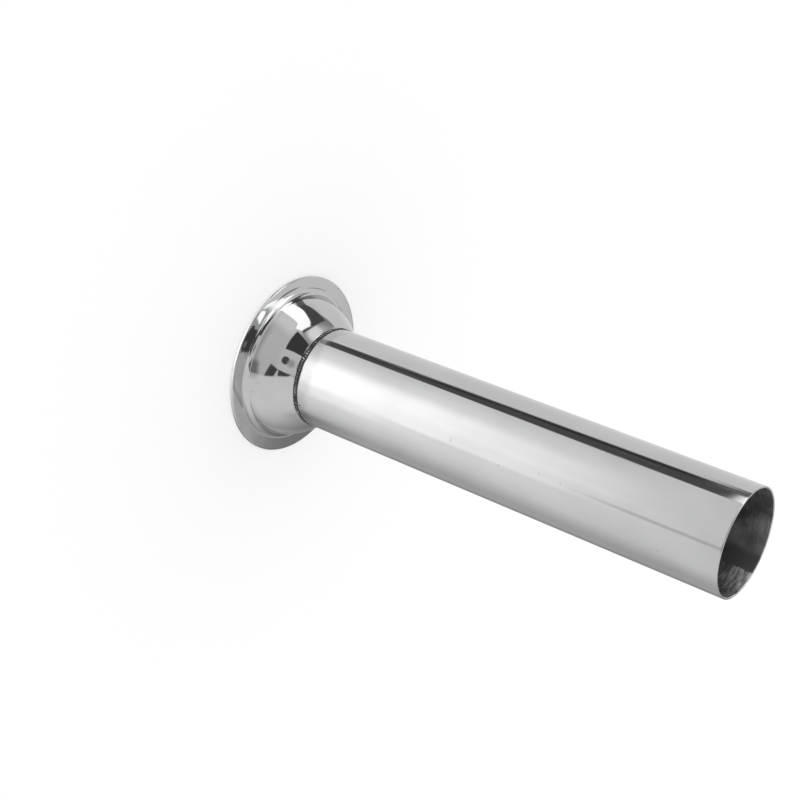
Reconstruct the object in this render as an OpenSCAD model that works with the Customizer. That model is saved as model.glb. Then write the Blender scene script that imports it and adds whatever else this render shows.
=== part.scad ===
// Stuffing tube for a meat filler: a pressed flange with a domed neck and a straight tube,
// joined by one round butt weld. It stands on the back face of the flange, mouth upwards.

/* [Flange] */
// Outside diameter of the lip
flange_d = 58; // [52:0.5:64]
// Thickness of the pressed sheet
sheet_t = 1; // [0.8:0.1:1.3]
// Height of the flange, from the back of the lip to the trimmed edge of the dome
flange_h = 14.2; // [13:0.1:16]
// Width of the flat lip, from its outside edge to the bend
lip_w = 3.9; // [3:0.1:5]
// Outside radius of the dome
dome_r = 24; // [22:0.5:25]
// Radius of the hollow corner between the lip and the dome
foot_r = 2; // [1:0.25:3]
// Rounding of the outer edges of the lip
lip_edge_r = 0.25; // [0.1:0.05:0.35]

/* [Tube] */
// Outside diameter of the tube
tube_d = 32; // [28:0.5:36]
// Wall of the tube
tube_wall = 0.6; // [0.5:0.05:0.9]
// Overall length, from the back of the lip to the mouth
overall_l = 160; // [100:5:220]
// Rounding of the edges of the mouth
mouth_edge_r = 0.15; // [0.05:0.05:0.2]

/* [Weld] */
// Width of the weld along the axis
weld_w = 1.5; // [1:0.1:2.5]
// Height of the weld ripples over the tube
weld_h = 0.25; // [0.15:0.05:0.4]
// Depth of the valleys between the ripples
ripple_depth = 0.08; // [0.04:0.02:0.12]
// Distance from one ripple to the next along the seam
ripple_pitch = 0.92; // [0.8:0.02:1.4]

/* [Hidden] */

flange_radius = flange_d / 2;
tube_radius = tube_d / 2;
bore_radius = tube_radius - tube_wall;

// Centre of the hollow corner, which touches the front of the lip.
foot_centre = [flange_radius - lip_w, sheet_t + foot_r];

// The dome runs from the outside of the tube, at the trimmed edge, to the hollow corner, which it
// touches. Its centre is where a circle about the edge and one about the corner's centre cross.
neck = [tube_radius, flange_h];
span = norm(foot_centre - neck);
toward = (foot_centre - neck) / span;
along = (pow(dome_r, 2) - pow(dome_r + foot_r, 2) + pow(span, 2)) / (2 * span);
across = sqrt(pow(dome_r, 2) - pow(along, 2));
dome_centre = neck + along * toward + across * [toward[1], -toward[0]];

// Angles on the dome, up from level: at the hollow corner, at the tube, and at the bore on the back.
foot_angle = atan2(foot_centre[1] - dome_centre[1], foot_centre[0] - dome_centre[0]);
top_angle = atan2(neck[1] - dome_centre[1], neck[0] - dome_centre[0]);
neck_angle = acos((bore_radius - dome_centre[0]) / (dome_r - sheet_t));

weld_z = flange_h;
tube_z = flange_h + weld_w;
valley_h = weld_h - ripple_depth;
shoulder_w = weld_w / 5;
ripple_count = round(PI * tube_d / ripple_pitch);
// Parts of one ripple's length: the end of its crest and the bottom of its valley.
crest_share = 0.3;
valley_share = 0.75;
// Height of the ring under the ripples, as a part of the valleys' height.
plateau_share = 0.5;

round_fn = 180;
edge_fn = 32;
dome_steps = 24;
foot_steps = 14;
edge_steps = 6;

// Points along an arc in section, without the point where it starts.
function arc(centre, radius, from, to, steps) = [
    for (i = [1 : steps])
        let (angle = from + (to - from) * i / steps)
            centre + radius * [cos(angle), sin(angle)]
];

// Section of the pressed sheet: up the front from the lip to the trimmed edge, and down the back.
function cup_section() = concat(
    [[bore_radius, flange_h], neck],
    arc(dome_centre, dome_r, top_angle, foot_angle, dome_steps),
    arc(foot_centre, foot_r, 180 + foot_angle, 270, foot_steps),
    [[flange_radius - lip_edge_r, sheet_t]],
    arc([flange_radius - lip_edge_r, sheet_t - lip_edge_r], lip_edge_r, 90, 0, edge_steps),
    [[flange_radius, lip_edge_r]],
    arc([flange_radius - lip_edge_r, lip_edge_r], lip_edge_r, 0, -90, edge_steps),
    [[foot_centre[0], 0]],
    arc(foot_centre, foot_r + sheet_t, 270, 180 + foot_angle, foot_steps),
    arc(dome_centre, dome_r - sheet_t, foot_angle, neck_angle, dome_steps)
);

// Pressed flange: flat lip, bend and domed neck, all one sheet, opened to the bore of the tube.
module flange_cup() {
    color([0.74, 0.75, 0.76])
        rotate_extrude($fn = round_fn)
            polygon(cup_section());
}

// Solid ring of the weld in section, chamfered down to the dome on one side and the tube on the other.
module weld_section() {
    polygon([
        [bore_radius, weld_z],
        [tube_radius, weld_z],
        [tube_radius + valley_h * plateau_share, weld_z + shoulder_w],
        [tube_radius + valley_h * plateau_share, tube_z - shoulder_w],
        [tube_radius, tube_z],
        [bore_radius, tube_z]
    ]);
}

// Outline of the ripples, seen along the axis: one peak and one valley for each.
module ripple_outline() {
    step = 360 / ripple_count;
    peak_r = tube_radius + weld_h;
    valley_r = tube_radius + valley_h;
    polygon([
        for (i = [0 : ripple_count - 1])
            for (corner = [[i, peak_r], [i + crest_share, peak_r], [i + valley_share, valley_r]])
                [corner[1] * cos(corner[0] * step), corner[1] * sin(corner[0] * step)]
    ]);
}

// Butt weld between the dome and the tube, with the ripples that the weld pool leaves.
module weld_bead() {
    color([0.36, 0.36, 0.37])
        union() {
            rotate_extrude($fn = round_fn)
                weld_section();
            translate([0, 0, weld_z + shoulder_w])
                linear_extrude(height = weld_w - 2 * shoulder_w)
                    difference() {
                        ripple_outline();
                        circle(r = tube_radius - tube_wall / 2, $fn = round_fn);
                    }
        }
}

// Straight tube, from the weld to the mouth.
module stuffing_tube() {
    color([0.80, 0.81, 0.82])
        rotate_extrude($fn = round_fn) {
            translate([bore_radius, tube_z])
                square([tube_wall, overall_l - mouth_edge_r - tube_z]);
            translate([bore_radius + mouth_edge_r, tube_z])
                square([tube_wall - 2 * mouth_edge_r, overall_l - tube_z]);
            for (r = [bore_radius + mouth_edge_r, tube_radius - mouth_edge_r])
                translate([r, overall_l - mouth_edge_r])
                    circle(r = mouth_edge_r, $fn = edge_fn);
        }
}

flange_cup();
weld_bead();
stuffing_tube();
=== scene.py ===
import math
import bpy
import bmesh
from mathutils import Matrix, Vector


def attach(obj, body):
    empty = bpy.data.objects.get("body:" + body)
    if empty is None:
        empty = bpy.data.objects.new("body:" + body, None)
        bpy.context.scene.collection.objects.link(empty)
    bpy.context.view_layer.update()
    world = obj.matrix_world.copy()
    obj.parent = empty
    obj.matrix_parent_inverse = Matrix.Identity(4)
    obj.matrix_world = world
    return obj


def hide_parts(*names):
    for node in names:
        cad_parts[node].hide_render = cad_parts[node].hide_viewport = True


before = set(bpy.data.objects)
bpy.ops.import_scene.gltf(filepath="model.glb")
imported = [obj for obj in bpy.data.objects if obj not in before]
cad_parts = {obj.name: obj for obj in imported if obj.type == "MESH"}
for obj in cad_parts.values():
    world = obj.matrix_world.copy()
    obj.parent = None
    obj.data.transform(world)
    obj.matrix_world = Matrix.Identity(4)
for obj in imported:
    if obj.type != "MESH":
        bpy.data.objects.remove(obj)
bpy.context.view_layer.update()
scene = bpy.context.scene
scene.view_settings.view_transform = "Standard"
mm = 0.001

# The camera looks down on the mouth, rolled so that the tube runs across the picture.
cameraPlace = {
    "location": (0.0, -0.3901, 0.2921),
    "right": (-0.36893, 0.49945, 0.78386),
    "up": (-0.92945, -0.20140, -0.30913),
    "lens": 68.3,
    "sensor": 36.0,
}


def placeCamera(place):
    right = Vector(place["right"]).normalized()
    up = Vector(place["up"])
    up = (up - up.dot(right) * right).normalized()
    back = right.cross(up)
    data = bpy.data.cameras.new("camera")
    data.lens = place["lens"]
    data.sensor_width = place["sensor"]
    data.clip_start = 0.01
    data.clip_end = 60
    camera = bpy.data.objects.new("camera", data)
    scene.collection.objects.link(camera)
    turn = Matrix((right, up, back)).transposed()
    camera.matrix_world = Matrix.Translation(place["location"]) @ turn.to_4x4()
    scene.camera = camera


placeCamera(cameraPlace)
print("camera placed")


# Small helpers for node trees.
def addNode(tree, kind, **values):
    node = tree.nodes.new(kind)
    for name, value in values.items():
        setattr(node, name, value)
    return node


def put(tree, value, socket):
    if isinstance(value, bpy.types.NodeSocket):
        tree.links.new(value, socket)
    else:
        socket.default_value = value


def maths(tree, operation, *values):
    node = addNode(tree, "ShaderNodeMath", operation=operation)
    for i, value in enumerate(values):
        put(tree, value, node.inputs[i])
    return node.outputs[0]


def blendValue(tree, factor, low, high):
    node = addNode(tree, "ShaderNodeMix", data_type="FLOAT")
    put(tree, factor, node.inputs[0])
    put(tree, low, node.inputs[2])
    put(tree, high, node.inputs[3])
    return node.outputs[0]


def ease(tree, value, low, high, toLow=0.0, toHigh=1.0):
    node = addNode(tree, "ShaderNodeMapRange", interpolation_type="SMOOTHSTEP")
    put(tree, value, node.inputs["Value"])
    for name, number in (("From Min", low), ("From Max", high), ("To Min", toLow), ("To Max", toHigh)):
        put(tree, number, node.inputs[name])
    return node.outputs["Result"]


def splitVector(tree, vector):
    node = addNode(tree, "ShaderNodeSeparateXYZ")
    tree.links.new(vector, node.inputs[0])
    return node.outputs


def joinVector(tree, x=0.0, y=0.0, z=0.0):
    node = addNode(tree, "ShaderNodeCombineXYZ")
    for value, socket in zip((x, y, z), node.inputs):
        put(tree, value, socket)
    return node.outputs[0]


def dotWith(tree, vector, fixed):
    node = addNode(tree, "ShaderNodeVectorMath", operation="DOT_PRODUCT")
    tree.links.new(vector, node.inputs[0])
    node.inputs[1].default_value = fixed
    return node.outputs["Value"]


def sumsFor(tree):
    def times(a, b):
        return maths(tree, "MULTIPLY", a, b)

    def plus(a, b):
        return maths(tree, "ADD", a, b)

    return times, plus


# The studio: a pale room with soft panels and dark flags round the tube. The panels are painted in this
# order, each over those before it. A panel has its grey, its softness in degrees and its corners, which are
# azimuth (0 towards the viewer, plus towards +X, from -240 to 120) and height in degrees. A round one has its
# middle and radius instead of corners. The grey is what the steel shows where it reflects the panel, and over
# 255 it is brighter than white.
studio = {
    "steel": 0.6,       # share of the light that the steel throws back
    "seam": 120,        # azimuth at which the count starts again
    "panels": {
        "room": (174, 5, [(-300, -16), (220, -16), (220, 120), (-300, 120)]),
        # the lit table, below the horizon
        "table, left and far": (187, 7, [(-174, -100), (-88, -100), (-88, -10), (-174, -10)]),
        "table, near": (187, [9, 9, 4, 9], [(-74, -100), (240, -100), (240, -14), (-74, -14)]),
        "table, past the seam": (187, [9, 9, 4, 9], [(-300, -100), (-180, -100), (-180, -14), (-300, -14)]),
        "table, lit part": (214, [9, 30, 8, 24], [(-53, -100), (71, -100), (71, -25), (-53, -25)]),
        "low softbox, left": (255, [9, 9, 8, 13], [(-28, -100), (12, -100), (12, -28.5), (-28, -28.5)]),
        "low softbox, right": (245, [9, 3.5, 8, 6], [(6, -100), (38, -100), (38, -28.5), (6, -28.5)]),
        "low softbox, spill": (236, [9, 9, 1.8, 9], [(24, -100), (53, -100), (53, -33), (24, -33)]),
        "low softbox, heart": (266, [9, 9, 2.5, 9], [(-15, -100), (31, -100), (31, -34.2), (-15, -34.2)]),
        "low softbox, core": (274, [9, 7, 2.2, 7], [(-14, -100), (20, -100), (20, -36), (-14, -36)]),
        "softbox rail": (164, [2, 2.4, 4, 2.4], [(26, -24), (31.5, -24), (31.5, -15), (26, -15)]),
        "table, right": (150, [9, 9, 5, 26], [(102, -100), (240, -100), (240, -13), (102, -13)]),
        "table, far right": (150, [9, 5, 5, 26], [(-258, -100), (-176, -100), (-176, -13), (-258, -13)]),
        "table, corner": (118, [9, 9, 5, 14], [(148, -100), (240, -100), (240, -13), (148, -13)]),
        "table, far corner": (118, [3, 5, 5, 14], [(-212, -41), (-176, -41), (-176, -13), (-212, -13)]),
        "table, foot": (110, [9, 9, 2, 12], [(108, -60), (240, -60), (240, -34.7), (108, -34.7)]),
        "table, far foot": (110, [3, 5, 2, 12], [(-252, -41), (-177, -41), (-177, -34.7), (-252, -34.7)]),
        "softbox under the edge": (255, 3, [(-150, -78), (20, -78), (20, -43), (-150, -43)]),
        # walls
        "right wall": (190, 2.4, [(34, -12), (240, -12), (240, 120), (34, 120)]),
        "right wall, past the seam": (190, 2.4, [(-300, -12), (-178, -12), (-178, 120), (-300, 120)]),
        "right wall, low corner": (146, [4, 8, 6, 1], [(33, -16), (39, -16), (39, 0), (33, 0)]),
        "right wall, upper": (168, [7, 3, 8, 8], [(106, 16), (150, 16), (150, 50), (106, 50)]),
        "far right wall, upper": (142, [8, 3, 8, 9], [(-236, 22), (-191, 22), (-191, 54), (-236, 54)]),
        "right wall, shaded": (103, [5, 9, 8, 42], [(121, -15), (260, -15), (260, 22), (121, 22)]),
        "far right wall, shaded": (103, [5, 5, 8, 42], [(-239, -15), (-178, -15), (-178, 22), (-239, 22)]),
        "back wall, left": (186, 3, [(-177, -16), (-108, -16), (-112, 60), (-177, 60)]),
        "back wall, right": (158, 1.3, [(-189, 32), (-179.6, 32), (-179.6, 41), (-189, 41)]),
        "back wall, middle": (150, [4, 4, 1.2, 1], [(-179.5, 20), (-167, 20), (-167, 34), (-179.5, 34)]),
        "back wall, right, low": (110, 0.9, [(-189, 32), (-180.4, 32), (-180.4, 36.9), (-189, 36.9)]),
        "left panel, shaded": (
            138, 1.8, [(-128, 20), (-108, 8), (-60, 20), (-56, 50), (-80, 60), (-124, 50)],
        ),
        "left panel, foot": (118, [2, 2, 5, 1.8], [(-108, 8), (-58, 8), (-58, 21), (-129, 21)]),
        "left panel, upper": (188, [8, 6, 3, 6], [(-120, 28.5), (-72, 28.5), (-76, 60), (-112, 52)]),
        "left panel, lit spot": (210, 17, (-83, 37), 9.5),
        "front wall": (168, 2.4, [(-66, -11), (33, -11), (33, 28), (-60, 28)]),
        "front wall, foot": (134, [3, 3, 6, 12], [(-38, -16), (33, -16), (33, -4.5), (-38, -4.5)]),
        "front wall, lit end": (190, 8, [(-72, -12), (-48, -12), (-42, 24), (-66, 26)]),
        # sharp shapes
        "left flag": (66, 0.9, [(-110, 15), (-99, -10), (-80, -12), (-62, 31.5), (-76, 29.5), (-92, 24)]),
        "left flag, foot": (84, 1.2, [(-105.5, -20), (-93, -20), (-88, -8), (-99, -8)]),
        "white panel, left": (
            255, 0.9, [(-89, 14), (-88, 0), (-93, -24), (-71, -22), (-66, -9), (-65, 17), (-79, 25.5)],
        ),
        "white panel, corner": (255, 0.8, [(-81, 25), (-66, 15), (-57, 20.5), (-62, 27.5)]),
        "window frame": (52, 0.8, [(-60.5, 66), (-55.6, 25), (-18.5, 30), (-28.5, 66)]),
        "right flag": (60, 1, [(13, 19), (34, 11), (33, 25), (20, 31)]),
        "right flag, tip": (60, 0.8, [(20, 32), (31.5, 31), (32, 46), (28.5, 52)]),
        "right flag, foot": (102, [3, 1, 5, 5], [(15, -16), (33.6, -16), (33.6, 2), (15, 0)]),
        "round flag": (62, 1.2, (0.3, 38.3), 6.1),
        "round flag, smudge": (138, 8, (3, 48), 4.2),
        "long flag": (
            66, [2.4, 1.2, 0.3, 1.9], [(-83.6, -38.4), (-69.2, -38.4), (-69.2, -19.7), (-97.8, -19.3)],
        ),
        "long flag, edge": (42, 2, [(-95.5, -20.2), (-83, -34.5), (-78, -34.5), (-89, -20.2)]),
        "long flag, end": (92, [1, 1.6, 2, 1.6], [(-95.2, -20.6), (-88.6, -20.6), (-89, -16), (-96, -16)]),
        "ceiling, left": (288, 3, [(-178, 46), (-112, 49.5), (-96, 50), (-95, 61), (-150, 60), (-178, 57)]),
        "overhead lamp": (
            320, 1, [(-143, 62.5), (-90, 66.2), (-66, 68.8), (-72, 70.4), (-104, 71.6), (-130, 69.3)],
        ),
        "overhead beam": (68, 1.4, (-17, 75.4), 10.9),
        "overhead beam, end": (68, 1.4, (-54, 84.9), 10.9),
        "overhead bulb": (140, 2, (0, 83), 2.6),
    },
}


def lampFor(grey):
    value = grey / 255
    linear = value / 12.92 if value <= 0.04045 else ((value + 0.055) / 1.055) ** 2.4
    return linear / studio["steel"]


# Softness is one number, or one for each edge where the corners run anticlockwise.
def edgesMask(tree, place, corners, soft):
    if not isinstance(soft, list):
        soft = [soft] * len(corners)
        if sum(a[0] * b[1] - b[0] * a[1] for a, b in zip(corners, corners[1:] + corners[:1])) < 0:
            corners = corners[::-1]
    mask = None
    for a, b, width in zip(corners, corners[1:] + corners[:1], soft):
        edge = Vector((b[0] - a[0], b[1] - a[1])).normalized()
        depth = dotWith(tree, place, (-edge.y, edge.x, edge.y * a[0] - edge.x * a[1]))
        side = ease(tree, depth, -width, width)
        mask = side if mask is None else maths(tree, "MULTIPLY", mask, side)
    return mask


def roundMask(tree, way, middle, radius, soft):
    turn, rise = (math.radians(v) for v in middle)
    towards = (math.cos(rise) * math.sin(turn), -math.cos(rise) * math.cos(turn), math.sin(rise))
    outer, inner = (math.cos(math.radians(v)) for v in (radius + soft / 2, radius - soft / 2))
    return ease(tree, dotWith(tree, way, towards), outer, inner)


# White to the eye and even for the floor, while the steel reflects the panels.
def lightStudio():
    world = bpy.data.worlds.new("studio")
    scene.world = world
    world.use_nodes = True
    tree = world.node_tree
    tree.nodes.clear()
    times, _ = sumsFor(tree)
    way = addNode(tree, "ShaderNodeTexCoord").outputs["Generated"]
    x, y, z = splitVector(tree, way)
    degree = 180 / math.pi
    azimuth = times(maths(tree, "ARCTAN2", x, times(y, -1.0)), degree)
    past = maths(tree, "GREATER_THAN", azimuth, float(studio["seam"]))
    azimuth = maths(tree, "SUBTRACT", azimuth, times(past, 360.0))
    place = joinVector(tree, azimuth, times(maths(tree, "ARCSINE", z), degree), 1.0)
    level = 1.0     # the plain white background, where no panel covers it
    for name, (grey, soft, *shape) in studio["panels"].items():
        if len(shape) == 1:
            mask = edgesMask(tree, place, shape[0], soft)
        else:
            mask = roundMask(tree, way, *shape, soft)
        level = blendValue(tree, mask, level, lampFor(grey))
        level.node.label = name
    lamps = addNode(tree, "ShaderNodeBackground")
    tree.links.new(level, lamps.inputs["Strength"])
    plain = addNode(tree, "ShaderNodeBackground")
    for background in (lamps, plain):
        background.inputs["Color"].default_value = (1, 1, 1, 1)
    rays = addNode(tree, "ShaderNodeLightPath")
    choice = addNode(tree, "ShaderNodeMixShader")
    tree.links.new(rays.outputs["Is Glossy Ray"], choice.inputs[0])
    tree.links.new(plain.outputs[0], choice.inputs[1])
    tree.links.new(lamps.outputs[0], choice.inputs[2])
    output = addNode(tree, "ShaderNodeOutputWorld")
    tree.links.new(choice.outputs[0], output.inputs["Surface"])
    world.cycles.sampling_method = "NONE"


lightStudio()


# The floor is white to the eye and keeps a soft shadow. Glossy rays pass it, so the steel shows the studio.
floorLook = {
    "reach": 20.0,      # metres from the middle to each edge
    "paint": 0.8,
    "glow": 0.22,       # added for the eye alone, so that paint and glow together just reach white
}


def layFloor(look):
    mesh = bpy.data.meshes.new("floor")
    edge = look["reach"]
    corners = [(-edge, -edge, 0), (edge, -edge, 0), (edge, edge, 0), (-edge, edge, 0)]
    mesh.from_pydata(corners, [], [(0, 1, 2, 3)])
    floor = bpy.data.objects.new("floor", mesh)
    scene.collection.objects.link(floor)
    material = bpy.data.materials.new("paleFloor")
    material.use_nodes = True
    tree = material.node_tree
    tree.nodes.clear()
    paint = addNode(tree, "ShaderNodeBsdfDiffuse")
    paint.inputs["Color"].default_value = (look["paint"], look["paint"], look["paint"], 1)
    glow = addNode(tree, "ShaderNodeEmission")
    glow.inputs["Color"].default_value = (1, 1, 1, 1)
    rays = addNode(tree, "ShaderNodeLightPath")
    strength = maths(tree, "MULTIPLY", rays.outputs["Is Camera Ray"], look["glow"])
    tree.links.new(strength, glow.inputs["Strength"])
    both = addNode(tree, "ShaderNodeAddShader")
    tree.links.new(paint.outputs[0], both.inputs[0])
    tree.links.new(glow.outputs[0], both.inputs[1])
    output = addNode(tree, "ShaderNodeOutputMaterial")
    tree.links.new(both.outputs[0], output.inputs["Surface"])
    mesh.materials.append(material)
    floor.visible_glossy = False


layFloor(floorLook)
print("studio lit and floor laid")


# Every geometry node tree takes named inputs and ends in Realize Instances and Set Material.
def startTree(name, inputs, result):
    tree = bpy.data.node_groups.new(name, "GeometryNodeTree")
    sockets = {}
    for label, (kind, start) in inputs.items():
        socket = tree.interface.new_socket(name=label, in_out="INPUT", socket_type="NodeSocket" + kind)
        if start is not None:
            socket.default_value = start
        sockets[label] = socket.identifier
    tree.interface.new_socket(name=result, in_out="OUTPUT", socket_type="NodeSocketGeometry")
    return tree, sockets, addNode(tree, "NodeGroupInput").outputs


def endTree(tree, shape, metal):
    whole = addNode(tree, "GeometryNodeRealizeInstances")
    tree.links.new(shape, whole.inputs[0])
    paint = addNode(tree, "GeometryNodeSetMaterial")
    tree.links.new(whole.outputs[0], paint.inputs["Geometry"])
    tree.links.new(metal, paint.inputs["Material"])
    output = addNode(tree, "NodeGroupOutput")
    tree.links.new(paint.outputs[0], output.inputs[0])


wanderHeight = 16 * mm      # height that one unit of the wandering noise spans
joinReach = 1e-6            # metres, closer points of a spun piece are joined


# A piece is spun about Z from its section, a closed loop of points with X as the radius, which may wander.
def spinTree():
    tree, sockets, given = startTree("spinSection", {
        "Section": ("Geometry", None),
        "Steps round": ("Int", 360),
        "Wander": ("Float", 0.0),
        "Wander size": ("Float", 10.0),
        "Seed": ("Int", 1),
        "Metal": ("Material", None),
    }, "Piece")
    times, plus = sumsFor(tree)
    count = addNode(tree, "GeometryNodeAttributeDomainSize", component="MESH")
    tree.links.new(given["Section"], count.inputs[0])
    points = count.outputs["Point Count"]
    grid = addNode(tree, "GeometryNodeMeshGrid")
    grid.inputs["Size X"].default_value = 1
    grid.inputs["Size Y"].default_value = 1
    tree.links.new(plus(points, 1.0), grid.inputs["Vertices X"])
    tree.links.new(plus(given["Steps round"], 1.0), grid.inputs["Vertices Y"])
    where = addNode(tree, "GeometryNodeInputPosition").outputs[0]
    across, along, _ = splitVector(tree, where)
    order = maths(tree, "ROUND", times(plus(across, 0.5), points))
    order = maths(tree, "MODULO", order, points)
    sample = addNode(tree, "GeometryNodeSampleIndex", data_type="FLOAT_VECTOR", domain="POINT")
    tree.links.new(given["Section"], sample.inputs["Geometry"])
    tree.links.new(where, sample.inputs["Value"])
    tree.links.new(order, sample.inputs["Index"])
    sectionX, _, sectionZ = splitVector(tree, sample.outputs[0])
    angle = times(plus(along, 0.5), 2 * math.pi)
    cosine = maths(tree, "COSINE", angle)
    sine = maths(tree, "SINE", angle)
    noise = addNode(tree, "ShaderNodeTexNoise", noise_dimensions="4D")
    noise.inputs["Detail"].default_value = 1
    spot = joinVector(tree, cosine, sine, times(sectionZ, 1 / wanderHeight))
    tree.links.new(spot, noise.inputs["Vector"])
    tree.links.new(given["Seed"], noise.inputs["W"])
    tree.links.new(given["Wander size"], noise.inputs["Scale"])
    radius = maths(tree, "SUBTRACT", sectionX, times(noise.outputs[0], given["Wander"]))
    move = addNode(tree, "GeometryNodeSetPosition")
    tree.links.new(grid.outputs["Mesh"], move.inputs["Geometry"])
    place = joinVector(tree, times(radius, cosine), times(radius, sine), sectionZ)
    tree.links.new(place, move.inputs["Position"])
    closed = addNode(tree, "GeometryNodeMergeByDistance")
    closed.inputs["Distance"].default_value = joinReach
    tree.links.new(move.outputs[0], closed.inputs["Geometry"])
    endTree(tree, closed.outputs[0], given["Metal"])
    return tree, sockets


def grow(name, verts, edges, faces, tree, sockets, inputs):
    mesh = bpy.data.meshes.new(name + "Start")
    mesh.from_pydata(verts, edges, faces)
    start = bpy.data.objects.new(name + "Start", mesh)
    scene.collection.objects.link(start)
    nodes = start.modifiers.new("grow", "NODES")
    nodes.node_group = tree
    for label, value in inputs.items():
        nodes[sockets[label]] = value
    bpy.context.view_layer.update()
    evaluated = start.evaluated_get(bpy.context.evaluated_depsgraph_get())
    done = bpy.data.meshes.new_from_object(evaluated)
    start.modifiers.remove(nodes)
    bpy.data.objects.remove(start)
    done.name = name
    return done


# Joins the meshes of a piece, with its faces pointing outwards and one metal.
def settle(name, meshes):
    shape = bmesh.new()
    for mesh in meshes:
        shape.from_mesh(mesh)
    bmesh.ops.remove_doubles(shape, verts=shape.verts, dist=1e-7)
    bmesh.ops.recalc_face_normals(shape, faces=shape.faces)
    for face in shape.faces:
        face.smooth = True
        face.material_index = 0
    done = bpy.data.meshes.new(name)
    done.materials.append(meshes[0].materials[-1])
    shape.to_mesh(done)
    shape.free()
    piece = bpy.data.objects.new(name, done)
    scene.collection.objects.link(piece)
    print(name, len(done.polygons), "faces")
    return piece


def arc(centre, radius, start, end, steps):
    points = []
    for i in range(steps + 1):
        angle = math.radians(start + (end - start) * i / steps)
        points.append((centre[0] + radius * math.cos(angle), centre[1] + radius * math.sin(angle)))
    return points


def line(start, end, steps):
    return [tuple(a + (b - a) * i / steps for a, b in zip(start, end)) for i in range(steps + 1)]


samePlace = 1e-4            # millimetres, closer points of a section count as one


def loopOf(*runs):
    loop = []
    for run in runs:
        for point in run:
            if not loop or math.dist(loop[-1], point) > samePlace:
                loop.append(point)
    if math.dist(loop[0], loop[-1]) < samePlace:
        loop.pop()
    return loop


spin, spinSockets = spinTree()


def spun(name, loop, inputs):
    verts = [(x * mm, 0, z * mm) for x, z in loop]
    edges = [(i, (i + 1) % len(loop)) for i in range(len(loop))]
    return grow(name, verts, edges, [], spin, spinSockets, inputs)


# Metal: a mirror polish with faint swells, hairline scratches, smears, a few nicks and dark streaks, one of
# them painted shade in a crease, on Object coordinates.
def streaks(tree, coords, scale, low, high, stretch=(1, 1, 1), turn=(0, 0, 0)):
    mapping = addNode(tree, "ShaderNodeMapping")
    tree.links.new(coords, mapping.inputs["Vector"])
    mapping.inputs["Rotation"].default_value = turn
    mapping.inputs["Scale"].default_value = stretch
    noise = addNode(tree, "ShaderNodeTexNoise")
    tree.links.new(mapping.outputs[0], noise.inputs["Vector"])
    noise.inputs["Scale"].default_value = scale
    noise.inputs["Detail"].default_value = 2
    return ease(tree, noise.outputs[0], low, high)


# The place of each shading point: its turn about Z in radians, and its height and radius in millimetres.
def placeOn(tree):
    times, plus = sumsFor(tree)
    coords = addNode(tree, "ShaderNodeTexCoord").outputs["Object"]
    x, y, z = splitVector(tree, coords)
    return {
        "coords": coords,
        "turn": maths(tree, "ARCTAN2", x, times(y, -1.0)),
        "height": times(z, 1000.0),
        "radius": times(maths(tree, "SQRT", plus(times(x, x), times(y, y))), 1000.0),
    }


def markShape(tree, across, along, reach, spot):
    times, plus = sumsFor(tree)
    turn, high, length, width, lean = spot
    cosine, sine = math.cos(math.radians(lean)), math.sin(math.radians(lean))
    x = times(maths(tree, "SUBTRACT", across, math.radians(turn)), reach)
    y = maths(tree, "SUBTRACT", along, float(high))
    u = times(plus(times(x, cosine), times(y, sine)), 2 / length)
    v = times(maths(tree, "SUBTRACT", times(y, cosine), times(x, sine)), 2 / width)
    return ease(tree, plus(times(u, u), times(v, v)), 1.0, 0.1)


# A finish is a shade, a roughness and a relief. The polish starts it, and each later layer changes it.
def darken(tree, finish, mask, shade):
    finish["shade"] = maths(tree, "MULTIPLY", finish["shade"], ease(tree, mask, 0.0, 1.0, 1.0, shade))


def polish(tree, place, look):
    times, plus = sumsFor(tree)
    coords = place["coords"]
    smears = streaks(tree, coords, look["smearScale"], 0.36, 0.7, stretch=(1, 1, 0.6))
    lengthwise = streaks(tree, coords, look["hairScale"], 0.5, 0.72, stretch=(1, 1, 0.02))
    crosswise = {"stretch": (0.03, 0.03, 1), "turn": (0.02, 0.03, 0)}
    hoops = streaks(tree, coords, look["hairScale"], 0.55, 0.72, **crosswise)
    hairs = plus(times(lengthwise, look["hairAlong"]), times(hoops, look["hairRound"]))
    swell = streaks(tree, coords, look["swellScale"], 0.2, 0.8, stretch=(1, 1, 0.5))
    rough = plus(plus(look["roughness"], times(smears, look["smearRough"])), times(hairs, look["hairRough"]))
    return {
        "shade": ease(tree, smears, 0.0, 1.0, 1.0, look["smearShade"]),
        "rough": rough,
        "relief": plus(times(swell, look["swell"] * mm), times(hairs, look["hairDepth"] * mm)),
    }


def addNicksAndStreaks(tree, place, finish, nicksAndStreaks):
    times, plus = sumsFor(tree)
    marks = 0.0
    for spot, shade in nicksAndStreaks["marks"]:
        mark = markShape(tree, place["turn"], place[nicksAndStreaks["by"]], nicksAndStreaks["reach"], spot)
        marks = plus(marks, mark)
        darken(tree, finish, mark, shade)
    finish["relief"] = plus(finish["relief"], times(marks, -nicksAndStreaks["depth"] * mm))
    finish["rough"] = plus(finish["rough"], times(marks, nicksAndStreaks["rough"]))


def addHeatTint(tree, place, finish, tint):
    times, plus = sumsFor(tree)
    cloud = streaks(tree, place["coords"], tint["scale"], 0.3, 0.7, stretch=(1, 1, 0.5))
    stain = ease(tree, plus(place["height"], times(cloud, tint["wander"])), tint["from"], tint["to"])
    darken(tree, finish, stain, tint["shade"])
    finish["rough"] = plus(finish["rough"], times(stain, tint["rough"]))
    fringe = plus(place["height"], times(cloud, tint["fringeWander"]))
    darken(tree, finish, ease(tree, fringe, tint["fringeFrom"], tint["fringeTo"]), tint["fringeShade"])
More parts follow.
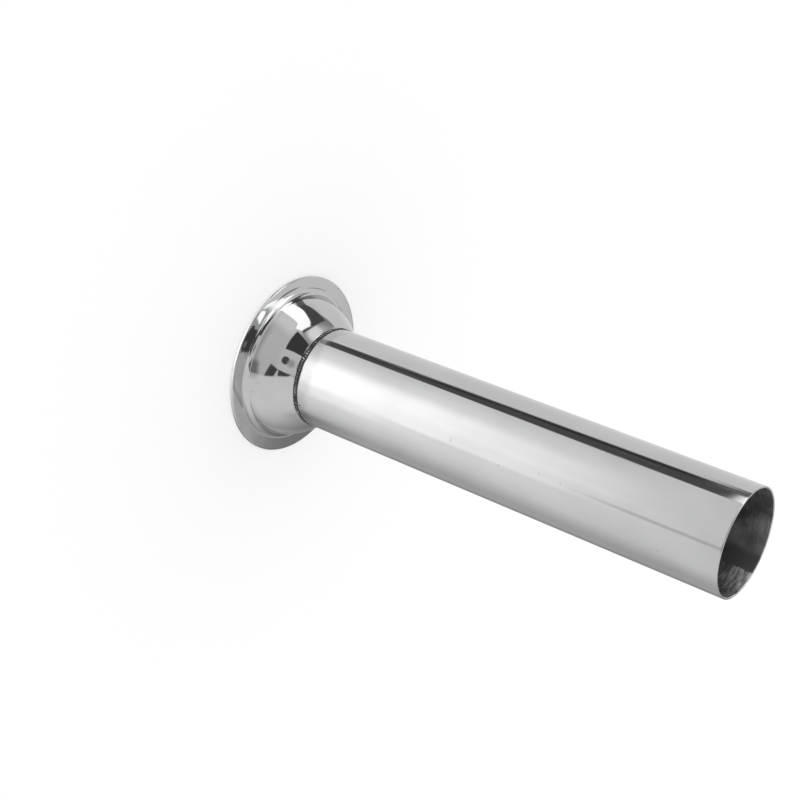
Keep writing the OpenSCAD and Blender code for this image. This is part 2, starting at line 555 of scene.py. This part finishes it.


# The bore is dull, with a cloudy stretch of its wall and a worn, scratched one, on which a pool of light near
# the mouth is painted in as painted light.
def addBore(tree, place, finish, bore):
    times, plus = sumsFor(tree)
    coords, turn = place["coords"], place["turn"]
    inside = ease(tree, place["radius"], bore["outside"], bore["inside"])
    wave = streaks(tree, coords, bore["waveScale"], 0.3, 0.7)
    angle = plus(turn, times(maths(tree, "LESS_THAN", turn, 0.0), 2 * math.pi))
    angle = plus(angle, times(wave, math.radians(bore["wave"])))

    def between(borders):
        start, full, fade, end = (math.radians(v) for v in borders)
        return times(ease(tree, angle, start, full), ease(tree, angle, end, fade))

    worn, cloudy = between(bore["worn"]), between(bore["cloudy"])
    cloud = streaks(tree, coords, bore["cloudScale"], 0.3, 0.68, stretch=(1, 1, 0.6), turn=(0.3, 0.2, 0))
    rub = streaks(tree, coords, bore["rubScale"], 0.44, 0.64, stretch=(0.12, 0.12, 1), turn=(0.06, 0.1, 0))
    rub = times(rub, plus(0.2, wave))
    fleck = streaks(tree, coords, bore["fleckScale"], 0.44, 0.6, stretch=(0.3, 0.3, 1), turn=(0.2, 0.1, 0))
    mouth = ease(tree, place["height"], bore["mouthFrom"], bore["mouthTo"])
    paintedLightFrom, paintedLightTo = (math.radians(v) for v in bore["bright"])
    # Painted light: a pool of light on the worn stretch near the mouth, lighter in flecks, added to the
    # shade.
    bright = times(ease(tree, angle, paintedLightFrom, paintedLightTo), plus(times(fleck, 0.75), 0.25))
    bright = times(times(worn, mouth), bright)
    deep = plus(times(cloud, bore["cloudShade"]), times(rub, bore["rubShade"]))
    deep = plus(bore["shade"], times(cloudy, deep))
    # The scratches of the worn stretch are lighter; the extra lightness near the mouth is painted light.
    worked = times(plus(mouth, bore["deepWear"]), times(rub, bore["wornRub"]))
    deep = plus(deep, times(worn, worked))
    deep = plus(deep, times(bright, bore["paintedLightShade"]))
    deep = maths(tree, "MINIMUM", deep, bore["shadeLimit"])
    satin = times(plus(times(worn, rub), times(cloudy, cloud)), bore["satin"])
    satin = plus(plus(bore["roughness"], satin), times(bright, bore["fleckSatin"]))
    finish["rough"] = blendValue(tree, inside, finish["rough"], satin)
    finish["shade"] = blendValue(tree, inside, finish["shade"], deep)
    finish["relief"] = plus(finish["relief"], times(times(rub, inside), bore["rubDepth"] * mm))


# The weld is dark as oxide, with painted shade in the valleys, and its proud crests carry a painted glint,
# gritty and in patches.
def addCrests(tree, place, finish, crest):
    times, plus = sumsFor(tree)
    proud = ease(tree, place["radius"], crest["from"], crest["to"])
    onSeam = ease(tree, place["height"], crest["end"] + crest["endSoft"], crest["end"])
    grit = streaks(tree, place["coords"], crest["gritScale"], 0.3, 0.6)
    patches = streaks(tree, place["coords"], crest["patchScale"], 0.42, 0.62, turn=(0.4, 0, 0))
    grit = times(grit, patches)
    # Painted glint on the proud crests; everything else keeps the valley share, dark as oxide and as painted
    # shade.
    lit = times(times(times(proud, onSeam), grit), crest["gain"])
    finish["shade"] = plus(times(finish["shade"], crest["valley"]), lit)
    finish["relief"] = plus(finish["relief"], times(grit, crest["gritDepth"] * mm))


def steel(name, look):
    material = bpy.data.materials.new(name)
    material.use_nodes = True
    tree = material.node_tree
    shader = tree.nodes["Principled BSDF"]
    shader.inputs["Metallic"].default_value = 1
    place = placeOn(tree)
    finish = polish(tree, place, look)
    for layer, add in (("nicksAndStreaks", addNicksAndStreaks), ("tint", addHeatTint), ("bore", addBore), ("crest", addCrests)):
        if layer in look:
            add(tree, place, finish, look[layer])
    bump = addNode(tree, "ShaderNodeBump")
    bump.inputs["Strength"].default_value = 1
    bump.inputs["Distance"].default_value = 1
    tree.links.new(finish["relief"], bump.inputs["Height"])
    colour = joinVector(tree, *(maths(tree, "MULTIPLY", finish["shade"], part) for part in look["colour"]))
    tree.links.new(colour, shader.inputs["Base Color"])
    tree.links.new(maths(tree, "MINIMUM", finish["rough"], 1.0), shader.inputs["Roughness"])
    tree.links.new(bump.outputs[0], shader.inputs["Normal"])
    return material



# The pressed flange, in millimetres as in the source.
flange = {
    "radius": 29.0,
    "lipWidth": 3.9,
    "sheet": 1.0,
    "height": 14.2,
    "domeRadius": 24.0,
    "cornerRadius": 2.0,
    "edgeRadius": 0.25,
    "collarStart": 46.7,    # degrees up the dome at which a low collar turns up to the weld
    "collarTurn": 8.0,
    "collarRadius": 0.8,
    "trimRadius": 1.0,
    "tubeRadius": 16.0,
    "bore": 15.4,
    "stepsRound": 360,
    "look": {
        "colour": (0.605, 0.607, 0.61),
        "roughness": 0.035,
        "smearScale": 120.0,
        "smearRough": 0.03,
        "smearShade": 0.96,
        "hairScale": 1500.0,
        "hairAlong": 0.1,
        "hairRound": 0.9,
        "hairRough": 0.05,
        "hairDepth": 0.0006,
        "swellScale": 90.0,
        "swell": 0.006,
        "nicksAndStreaks": {
            "by": "radius",
            "reach": 26.5,        # distance from the axis, for lengths round it
            "depth": 0.008,
            "rough": 0.12,
            "marks": [            # degrees round, radius, length, width and lean, then the shade
                # The first two are long dark streaks on the lip and the third is painted shade along the
                # crease where the lip meets the hollow corner; the rest are small nicks.
                ((-48.0, 26.25, 15.0, 0.75, 0), 0.3),
                ((-52.0, 28.65, 9.0, 0.3, 0), 0.75),
                ((-80.0, 25.2, 14.0, 0.4, 0), 0.6),
                ((-160.0, 27.2, 1.4, 0.3, 30), 0.7),
                ((140.0, 26.4, 1.8, 0.3, -40), 0.7),
                ((60.0, 28.7, 0.6, 0.5, 0), 0.4),
                ((-103.0, 28.6, 0.6, 0.5, 0), 0.45),
                ((17.0, 25.6, 0.5, 0.3, 0), 0.55),
                ((25.5, 22.3, 0.35, 1.0, 0), 0.8),
                ((34.0, 22.8, 0.4, 0.8, 0), 0.8),
            ],
        },
    },
}


# The dome runs from the neck to the hollow corner and touches both. The last number of each run is its steps.
def flangeSection(size):
    corner = Vector((size["radius"] - size["lipWidth"], size["sheet"] + size["cornerRadius"]))
    neck = Vector((size["tubeRadius"], size["height"]))
    toward = corner - neck
    span = toward.length
    toward.normalize()
    reach = size["domeRadius"] + size["cornerRadius"]
    along = (size["domeRadius"] ** 2 - reach ** 2 + span ** 2) / (2 * span)
    across = math.sqrt(size["domeRadius"] ** 2 - along ** 2)
    centre = neck + along * toward + across * Vector((toward.y, -toward.x))
    foot = math.degrees(math.atan2(corner.y - centre.y, corner.x - centre.x))
    inner = size["domeRadius"] - size["sheet"]
    neckAngle = math.degrees(math.acos((size["bore"] - centre.x) / inner))
    edge = size["edgeRadius"]
    rim = size["radius"] - edge
    lead, bend = size["collarStart"], size["collarRadius"]
    turned = lead - size["collarTurn"]
    outward = Vector((math.cos(math.radians(lead)), math.sin(math.radians(lead))))
    bendCentre = centre + (size["domeRadius"] + bend) * outward
    facing = Vector((math.cos(math.radians(turned)), math.sin(math.radians(turned))))
    trim = size["trimRadius"]
    trimCentre = bendCentre - (bend + trim) * facing
    return loopOf(
        line((size["bore"], trimCentre.y + trim), (trimCentre.x, trimCentre.y + trim), 3),
        arc(trimCentre, trim, 90, turned, 12),
        arc(bendCentre, bend, 180 + turned, 180 + lead, 8),
        arc(centre, size["domeRadius"], lead, foot, 64),
        arc(corner, size["cornerRadius"], 180 + foot, 270, 22),
        line((corner.x, size["sheet"]), (rim, size["sheet"]), 8),
        arc((rim, size["sheet"] - edge), edge, 90, 0, 8),
        line((size["radius"], size["sheet"] - edge), (size["radius"], edge), 3),
        arc((rim, edge), edge, 0, -90, 8),
        line((rim, 0), (corner.x, 0), 6),
        arc(corner, size["cornerRadius"] + size["sheet"], 270, 180 + foot, 16),
        arc(centre, inner, foot, neckAngle, 40),
    )


def makeFlange(size):
    inputs = {"Steps round": size["stepsRound"], "Metal": steel("polishedFlange", size["look"])}
    mesh = spun("flangeCup", flangeSection(size), inputs)
    piece = settle("flangeCup", [mesh])
    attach(piece, "root")
    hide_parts("flange_cup")


makeFlange(flange)


# The tube, drawn in a little where the weld has shrunk it.
tube = {
    "radius": 16.0,
    "wall": 0.6,
    "start": 15.7,
    "length": 160.0,
    "startEdge": 0.12,
    "mouthEdge": 0.15,
    "shrink": 0.06,
    "shrinkReach": 2.2,
    "fineStep": 0.2,        # between rings next to the weld
    "fineSteps": 40,
    "coarseStep": 2.0,
    "lastStep": 0.3,
    "stepsRound": 360,
    "look": {
        "colour": (0.605, 0.607, 0.61),
        "roughness": 0.03,
        "smearScale": 70.0,
        "smearRough": 0.035,
        "smearShade": 0.95,
        "hairScale": 1300.0,
        "hairAlong": 1.0,
        "hairRound": 0.2,
        "hairRough": 0.06,
        "hairDepth": 0.0004,
        "swellScale": 60.0,
        "swell": 0.008,
        "nicksAndStreaks": {
            "by": "height",
            "reach": 16.0,        # distance from the axis, for lengths round it
            "depth": 0.008,
            "rough": 0.12,
            "marks": [            # degrees round, height, length, width and lean, then the shade
                ((13.5, 73.8, 2.0, 0.4, 4), 0.75),
                ((20.0, 90.8, 1.5, 0.4, -25), 0.75),
                ((12.0, 104.0, 1.6, 0.4, 70), 0.8),
                ((13.0, 111.0, 1.3, 0.35, 50), 0.8),
                ((44.0, 123.5, 1.1, 0.4, 40), 0.8),
                ((41.0, 142.5, 1.0, 0.4, 20), 0.75),
                ((96.0, 60.0, 1.6, 0.4, 30), 0.75),
                ((-120.0, 84.0, 1.5, 0.4, 60), 0.75),
                ((178.0, 131.0, 1.2, 0.5, 10), 0.75),
            ],
        },
        "tint": {               # the heat of the weld, with a darker fringe right beside it
            "from": 22.5,
            "to": 18.6,
            "wander": 2.6,
            "scale": 260.0,
            "shade": 0.83,
            "rough": 0.06,
            "fringeFrom": 16.35,
            "fringeTo": 16.0,
            "fringeWander": 0.4,
            "fringeShade": 0.5,
        },
        "bore": {               # the worn stretch with its painted light, and the cloudy one, have a soft border at each end, in degrees round
            "outside": 15.7,
            "inside": 15.52,
            "worn": (92, 106, 153, 155),
            "cloudy": (170, 180, 300, 340),
            # degrees round over which the painted light near the mouth comes in
            "bright": (118, 142),
            "wave": 1.6,
            "waveScale": 260.0,
            "cloudScale": 230.0,
            "rubScale": 2100.0,
            "rubDepth": 0.003,
            "fleckScale": 1100.0,
            "mouthFrom": 152.5,
            "mouthTo": 158.5,
            "shade": 0.85,
            "cloudShade": 0.45,
            "rubShade": 0.45,
            "deepWear": 0.35,
            "wornRub": 2.8,
            # strength of the painted light near the mouth
            "paintedLightShade": 1.2,
            "shadeLimit": 1.6,
            "roughness": 0.3,
            "satin": 0.1,
            "fleckSatin": 0.35,
        },
    },
}


def tubeSection(size):
    outer, inner = size["radius"], size["radius"] - size["wall"]
    lead, mouth = size["startEdge"], size["mouthEdge"]
    start, end = size["start"], size["length"] - mouth
    heights = [start + lead + size["fineStep"] * i for i in range(size["fineSteps"])]
    while heights[-1] + size["coarseStep"] < end - size["lastStep"]:
        heights.append(heights[-1] + size["coarseStep"])
    heights += [end - size["lastStep"], end]

    def wallAt(radius, z):
        pull = size["shrink"] * math.exp(-(((z - start) / size["shrinkReach"]) ** 2))
        return (radius - pull, z)

    return loopOf(
        arc((outer - size["shrink"] - lead, start + lead), lead, -90, 0, 6),
        [wallAt(outer, z) for z in heights],
        arc((outer - mouth, end), mouth, 0, 90, 8),
        arc((inner + mouth, end), mouth, 90, 180, 8),
        [wallAt(inner, z) for z in reversed(heights)],
        [wallAt(inner, start)],
    )


def makeTube(size):
    inputs = {"Steps round": size["stepsRound"], "Metal": steel("polishedTube", size["look"])}
    mesh = spun("stuffingTube", tubeSection(size), inputs)
    piece = settle("stuffingTube", [mesh])
    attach(piece, "root")
    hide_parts("stuffing_tube")


makeTube(tube)


# The weld: a dark sunk ring with a ripple for each step of the weld pool, and a few beads of spatter.
weld = {
    "start": 14.2,
    "width": 1.5,
    "tubeRadius": 16.0,
    "bore": 15.4,
    "ringHeight": 0.07,     # crown of the ring under the ripples
    "ringSink": 0.05,
    "ringRound": 0.6,
    "ringWander": 0.05,
    "wanderSize": 6.0,
    "ringSteps": 4,         # for each ripple
    "ripples": 109,
    "rippleLength": 0.5,    # round the seam
    "rippleWidth": 1.2,     # along the tube
    "rippleHeight": 0.25,
    "rippleSink": 0.06,
    "ripplePeak": 0.8,
    "rippleRound": 0.6,
    "rippleTaper": 0.35,
    "rippleBend": 0.14,
    "rippleSkew": 0.2,
    "rippleRise": 0.08,     # of the whole run towards the mouth
    "sizeSpread": 0.34,
    "lean": 0.5,            # radians, at most
    "shift": 0.16,
    "seed": 11,
    "beadHeight": 0.1,
    "beadSink": 0.02,
    "beadTurn": 0.4,        # radians, at most, and different for each bead
    "spatter": [            # degrees round, height, size along, size round
        (45.5, 16.45, 0.34, 0.2),
        (47.2, 16.9, 0.16, 0.12),
        (-31.0, 16.15, 0.14, 0.2),
        (112.0, 16.3, 0.2, 0.16),
        (171.0, 16.6, 0.16, 0.16),
        (-118.0, 16.2, 0.24, 0.14),
        (-74.0, 16.25, 0.12, 0.12),
    ],
    "look": {
        "colour": (0.3, 0.3, 0.305),
        "roughness": 0.22,
        "smearScale": 600.0,
        "smearRough": 0.16,
        "smearShade": 0.7,
        "hairScale": 2400.0,
        "hairAlong": 0.5,
        "hairRound": 0.5,
        "hairRough": 0.1,
        "hairDepth": 0.002,
        "swellScale": 900.0,
        "swell": 0.02,
        "crest": {
            "from": 16.07,        # radius at which the painted glint on a crest begins, and where it is strongest
            "to": 16.15,
            "end": 15.9,          # height up to which the crests carry the painted glint
            "endSoft": 0.15,
            # strength of the painted glint on the crests
            "gain": 1.9,
            # share of the shade left all over the weld, dark as oxide and as painted shade in the valleys
            "valley": 0.3,
            "gritScale": 2300.0,
            "gritDepth": 0.012,
            "patchScale": 420.0,
        },
    },
}


# A ripple is set on each point of a circle, a little different each time in height, lean and size.
def rippleTree():
    tree, sockets, given = startTree("rippleSeam", {
        "Ripple": ("Geometry", None),
        "Ripples": ("Int", 100),
        "Seam radius": ("Float", 0.016),
        "Seam height": ("Float", 0.0),
        "Size spread": ("Float", 0.2),
        "Lean": ("Float", 0.2),
        "Shift": ("Float", 0.0),
        "Seed": ("Int", 1),
        "Metal": ("Material", None),
    }, "Seam")

    def spread(centre, amount, offset):
        chance = addNode(tree, "FunctionNodeRandomValue", data_type="FLOAT")
        tree.links.new(maths(tree, "SUBTRACT", centre, amount), chance.inputs[2])
        tree.links.new(maths(tree, "ADD", centre, amount), chance.inputs[3])
        tree.links.new(maths(tree, "ADD", given["Seed"], float(offset)), chance.inputs["Seed"])
        return chance.outputs[1]

    ring = addNode(tree, "GeometryNodeMeshCircle")
    tree.links.new(given["Ripples"], ring.inputs["Vertices"])
    tree.links.new(given["Seam radius"], ring.inputs["Radius"])
    x, y, _ = splitVector(tree, addNode(tree, "GeometryNodeInputPosition").outputs[0])
    move = addNode(tree, "GeometryNodeSetPosition")
    tree.links.new(ring.outputs[0], move.inputs["Geometry"])
    lift = joinVector(tree, z=spread(given["Seam height"], given["Shift"], 0))
    tree.links.new(lift, move.inputs["Offset"])
    place = addNode(tree, "GeometryNodeInstanceOnPoints")
    tree.links.new(move.outputs[0], place.inputs["Points"])
    tree.links.new(given["Ripple"], place.inputs["Instance"])
    turn = joinVector(tree, x=spread(0.0, given["Lean"], 1), z=maths(tree, "ARCTAN2", y, x))
    tree.links.new(turn, place.inputs["Rotation"])
    size = joinVector(tree, *(spread(1.0, given["Size spread"], 2 + i) for i in range(3)))
    tree.links.new(size, place.inputs["Scale"])
    endTree(tree, place.outputs[0], given["Metal"])
    return tree, sockets


def weldSection(size, steps=14):
    start, end = size["start"], size["start"] + size["width"]
    radius, crown = size["tubeRadius"] - size["ringSink"], size["ringHeight"] + size["ringSink"]
    top = []
    for i in range(steps + 1):
        rise = crown * math.sin(math.pi * i / steps) ** size["ringRound"]
        top.append((radius + rise, start + size["width"] * i / steps))
    return loopOf(
        [(size["bore"], start)],
        top,
        line((size["bore"], end), (size["bore"], start), 4),
    )


# One ripple: a bent low ridge, X outwards, Y round the seam and Z along the tube.
def rippleShape(size, across=6, along=5):
    verts = []
    for j in range(along + 1):
        v = 2 * j / along - 1
        for i in range(across + 1):
            u = 2 * i / across - 1
            ridge = math.cos(u * math.pi / 2) ** size["ripplePeak"]
            crest = ridge * (1 - v * v) ** size["rippleRound"] if abs(v) < 1 else 0
            x = (size["rippleHeight"] - size["rippleSink"]) * crest - size["rippleSink"]
            y = size["rippleLength"] / 2 * (u * (1 - size["rippleTaper"] * v * v))
            y += size["rippleSkew"] * v - size["rippleBend"] * v * v
            verts.append((x * mm, y * mm, size["rippleWidth"] / 2 * v * mm))
    wide = across + 1
    faces = []
    for j in range(along):
        for i in range(across):
            corner = j * wide + i
            faces.append((corner, corner + 1, corner + wide + 1, corner + wide))
    rim = list(range(wide)) + [j * wide + across for j in range(1, along + 1)]
    rim += [along * wide + i for i in range(across - 1, -1, -1)] + [j * wide for j in range(along - 1, 0, -1)]
    faces.append(tuple(reversed(rim)))
    return verts, faces


def spatterMesh(size, metal):
    shape = bmesh.new()
    for degrees, z, tall, broad in size["spatter"]:
        angle = math.radians(degrees)
        made = bmesh.ops.create_icosphere(shape, subdivisions=2, radius=1)
        turn = Matrix.Rotation(angle - math.pi / 2, 4, "Z")
        turn @= Matrix.Rotation(size["beadTurn"] * math.sin(7 * degrees), 4, "X")
        bead = Matrix.Diagonal((size["beadHeight"] * mm, broad * mm, tall * mm, 1))
        outwards = Vector((math.sin(angle), -math.cos(angle), 0))
        spot = outwards * (size["tubeRadius"] - size["beadSink"]) * mm + Vector((0, 0, z * mm))
        bmesh.ops.transform(shape, matrix=Matrix.Translation(spot) @ turn @ bead, verts=made["verts"])
    mesh = bpy.data.meshes.new("spatter")
    shape.to_mesh(mesh)
    shape.free()
    mesh.materials.append(metal)
    return mesh


def makeWeld(size):
    metal = steel("weldMetal", size["look"])
    ring = spun("weldRing", weldSection(size), {
        "Steps round": size["ringSteps"] * size["ripples"],
        "Wander": size["ringWander"] * mm,
        "Wander size": size["wanderSize"],
        "Seed": size["seed"],
        "Metal": metal,
    })
    seam, seamSockets = rippleTree()
    verts, faces = rippleShape(size)
    ripples = grow("weldRipples", verts, [], faces, seam, seamSockets, {
        "Ripples": size["ripples"],
        "Seam radius": (size["tubeRadius"] + size["ringHeight"]) * mm,
        "Seam height": (size["start"] + size["width"] / 2 + size["rippleRise"]) * mm,
        "Size spread": size["sizeSpread"],
        "Lean": size["lean"],
        "Shift": size["shift"] * mm,
        "Seed": size["seed"],
        "Metal": metal,
    })
    piece = settle("weldBead", [ring, ripples, spatterMesh(size, metal)])
    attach(piece, "root")
    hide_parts("weld_bead")


makeWeld(weld)
